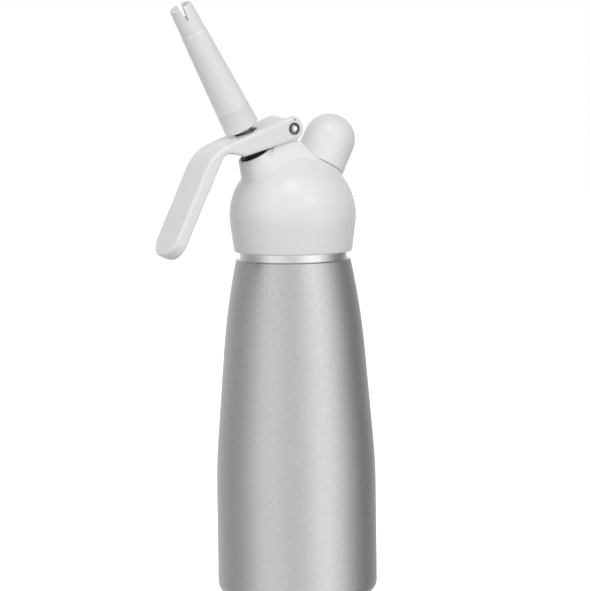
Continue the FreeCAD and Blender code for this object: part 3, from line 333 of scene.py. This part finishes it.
def studio_world():
    """White for the camera; for everything else a studio that is bright to both sides of the
    camera and darker at the far left and far right."""
    world = bpy.data.worlds.new("studio")
    bpy.context.scene.world = world
    world.use_nodes = True
    tree = world.node_tree
    tree.nodes.clear()
    new, link = tree.nodes.new, tree.links.new
    coords = new("ShaderNodeTexCoord")
    turn = new("ShaderNodeMapping")
    turn.vector_type = "POINT"
    turn.inputs["Rotation"].default_value = (0, 0, -AZIMUTH)
    link(coords.outputs["Generated"], turn.inputs["Vector"])
    split = new("ShaderNodeSeparateXYZ")
    link(turn.outputs["Vector"], split.inputs["Vector"])
    angle = new("ShaderNodeMath")
    angle.operation = "ARCTAN2"
    link(split.outputs["X"], angle.inputs[0])
    flip = new("ShaderNodeMath")
    flip.operation = "MULTIPLY"
    flip.inputs[1].default_value = -1
    link(split.outputs["Y"], flip.inputs[0])
    link(flip.outputs[0], angle.inputs[1])
    share = new("ShaderNodeMapRange")
    share.inputs["From Min"].default_value = -math.pi
    share.inputs["From Max"].default_value = math.pi
    link(angle.outputs[0], share.inputs["Value"])
    ramp = new("ShaderNodeValToRGB")
    ramp.color_ramp.interpolation = "B_SPLINE"
    fill_ramp(ramp, [((degrees + 180) / 360, grey(level / PEAK)) for degrees, level in STUDIO])
    link(share.outputs["Result"], ramp.inputs["Fac"])
    zenith = new("ShaderNodeMapRange")
    zenith.interpolation_type = "SMOOTHSTEP"
    zenith.inputs["From Min"].default_value = 0.25
    zenith.inputs["From Max"].default_value = 0.95
    zenith.inputs["To Min"].default_value = PEAK
    zenith.inputs["To Max"].default_value = 0.45 * PEAK
    link(split.outputs["Z"], zenith.inputs["Value"])
    around = new("ShaderNodeBackground")
    link(zenith.outputs["Result"], around.inputs["Strength"])
    link(ramp.outputs["Color"], around.inputs["Color"])
    white = new("ShaderNodeBackground")
    white.inputs["Color"].default_value = (1, 1, 1, 1)
    white.inputs["Strength"].default_value = 1.0
    rays = new("ShaderNodeLightPath")
    mix = new("ShaderNodeMixShader")
    link(rays.outputs["Is Camera Ray"], mix.inputs["Fac"])
    link(around.outputs["Background"], mix.inputs[1])
    link(white.outputs["Background"], mix.inputs[2])
    output = new("ShaderNodeOutputWorld")
    link(mix.outputs["Shader"], output.inputs["Surface"])


FLOOR_RADIUS, FLOOR_HEIGHT = 3, -0.0004


def floor():
    """A pale disc: white with a soft contact shadow for the camera, greyer for what it lights,
    and absent from reflections."""
    bpy.ops.mesh.primitive_circle_add(vertices=96, radius=FLOOR_RADIUS, fill_type="NGON",
                                      location=(0, 0, FLOOR_HEIGHT))
    disc = bpy.context.object
    disc.name = "studio_floor"
    material, tree, seen = new_material("pale_floor")
    two_tones(tree, seen, noise(tree, 3, 2), grey(0.86), grey(0.88))
    seen.inputs["Roughness"].default_value = 0.9
    seen.inputs["Specular IOR Level"].default_value = 0.0
    seen.inputs["Emission Color"].default_value = (1, 1, 1, 1)
    seen.inputs["Emission Strength"].default_value = 0.75
    met = tree.nodes.new("ShaderNodeBsdfPrincipled")
    two_tones(tree, met, noise(tree, 3, 2), grey(0.50), grey(0.54))
    met.inputs["Roughness"].default_value = 0.9
    met.inputs["Specular IOR Level"].default_value = 0.0
    rays = tree.nodes.new("ShaderNodeLightPath")
    clear = tree.nodes.new("ShaderNodeBsdfTransparent")
    faint = tree.nodes.new("ShaderNodeMixShader")
    tree.links.new(rays.outputs["Is Glossy Ray"], faint.inputs["Fac"])
    tree.links.new(met.outputs["BSDF"], faint.inputs[1])
    tree.links.new(clear.outputs["BSDF"], faint.inputs[2])
    mix = tree.nodes.new("ShaderNodeMixShader")
    tree.links.new(rays.outputs["Is Camera Ray"], mix.inputs["Fac"])
    tree.links.new(faint.outputs["Shader"], mix.inputs[1])
    tree.links.new(seen.outputs["BSDF"], mix.inputs[2])
    output = next(n for n in tree.nodes if n.bl_idname == "ShaderNodeOutputMaterial")
    tree.links.new(mix.outputs["Shader"], output.inputs["Surface"])
    disc.data.materials.append(material)


# the lights are aimed at the middle of the head
LIT_HEIGHT = 0.17


def soft_light(name, azimuth, elevation, distance, size, watts):
    """A square soft light; azimuth is counted from the camera, right positive."""
    turn = AZIMUTH + azimuth
    aim = Vector((0, 0, LIT_HEIGHT))
    offset = Vector((math.sin(turn) * math.cos(elevation), -math.cos(turn) * math.cos(elevation),
                     math.sin(elevation)))
    data = bpy.data.lights.new(name, "AREA")
    data.shape = "SQUARE"
    data.size = size
    data.energy = watts
    lamp = bpy.data.objects.new(name, data)
    lamp.location = aim + offset * distance
    lamp.rotation_euler = (-offset).to_track_quat("-Z", "Y").to_euler()
    bpy.context.scene.collection.objects.link(lamp)


studio_world()
floor()
soft_light("top_softbox", math.radians(0), math.radians(58), 1.2, 0.45, 1.4)
soft_light("key_softbox", math.radians(35), math.radians(32), 1.4, 0.35, 0.8)
soft_light("fill_softbox", math.radians(-60), math.radians(45), 1.3, 0.7, 0.8)

# ------------------------------------------------------------------ camera

DISTANCE = 1.5
LENS = 187.4
AIM = Vector((0, 0, 0.1468)) + RIGHT * 0.0006
data = bpy.data.cameras.new("camera")
data.lens = LENS
data.sensor_width = 36
data.sensor_fit = "HORIZONTAL"
data.clip_start = 0.05
data.clip_end = 20
camera = bpy.data.objects.new("camera", data)
camera.location = AIM + LOOK * DISTANCE
camera.rotation_mode = "QUATERNION"
camera.rotation_quaternion = (-LOOK).to_track_quat("-Z", "Y")
bpy.context.scene.collection.objects.link(camera)
bpy.context.scene.camera = camera
bpy.context.view_layer.update()
camera.matrix_world = camera.matrix_world @ Matrix.Rotation(-ROLL, 4, "Z")

bpy.context.scene.view_settings.view_transform = "Standard"
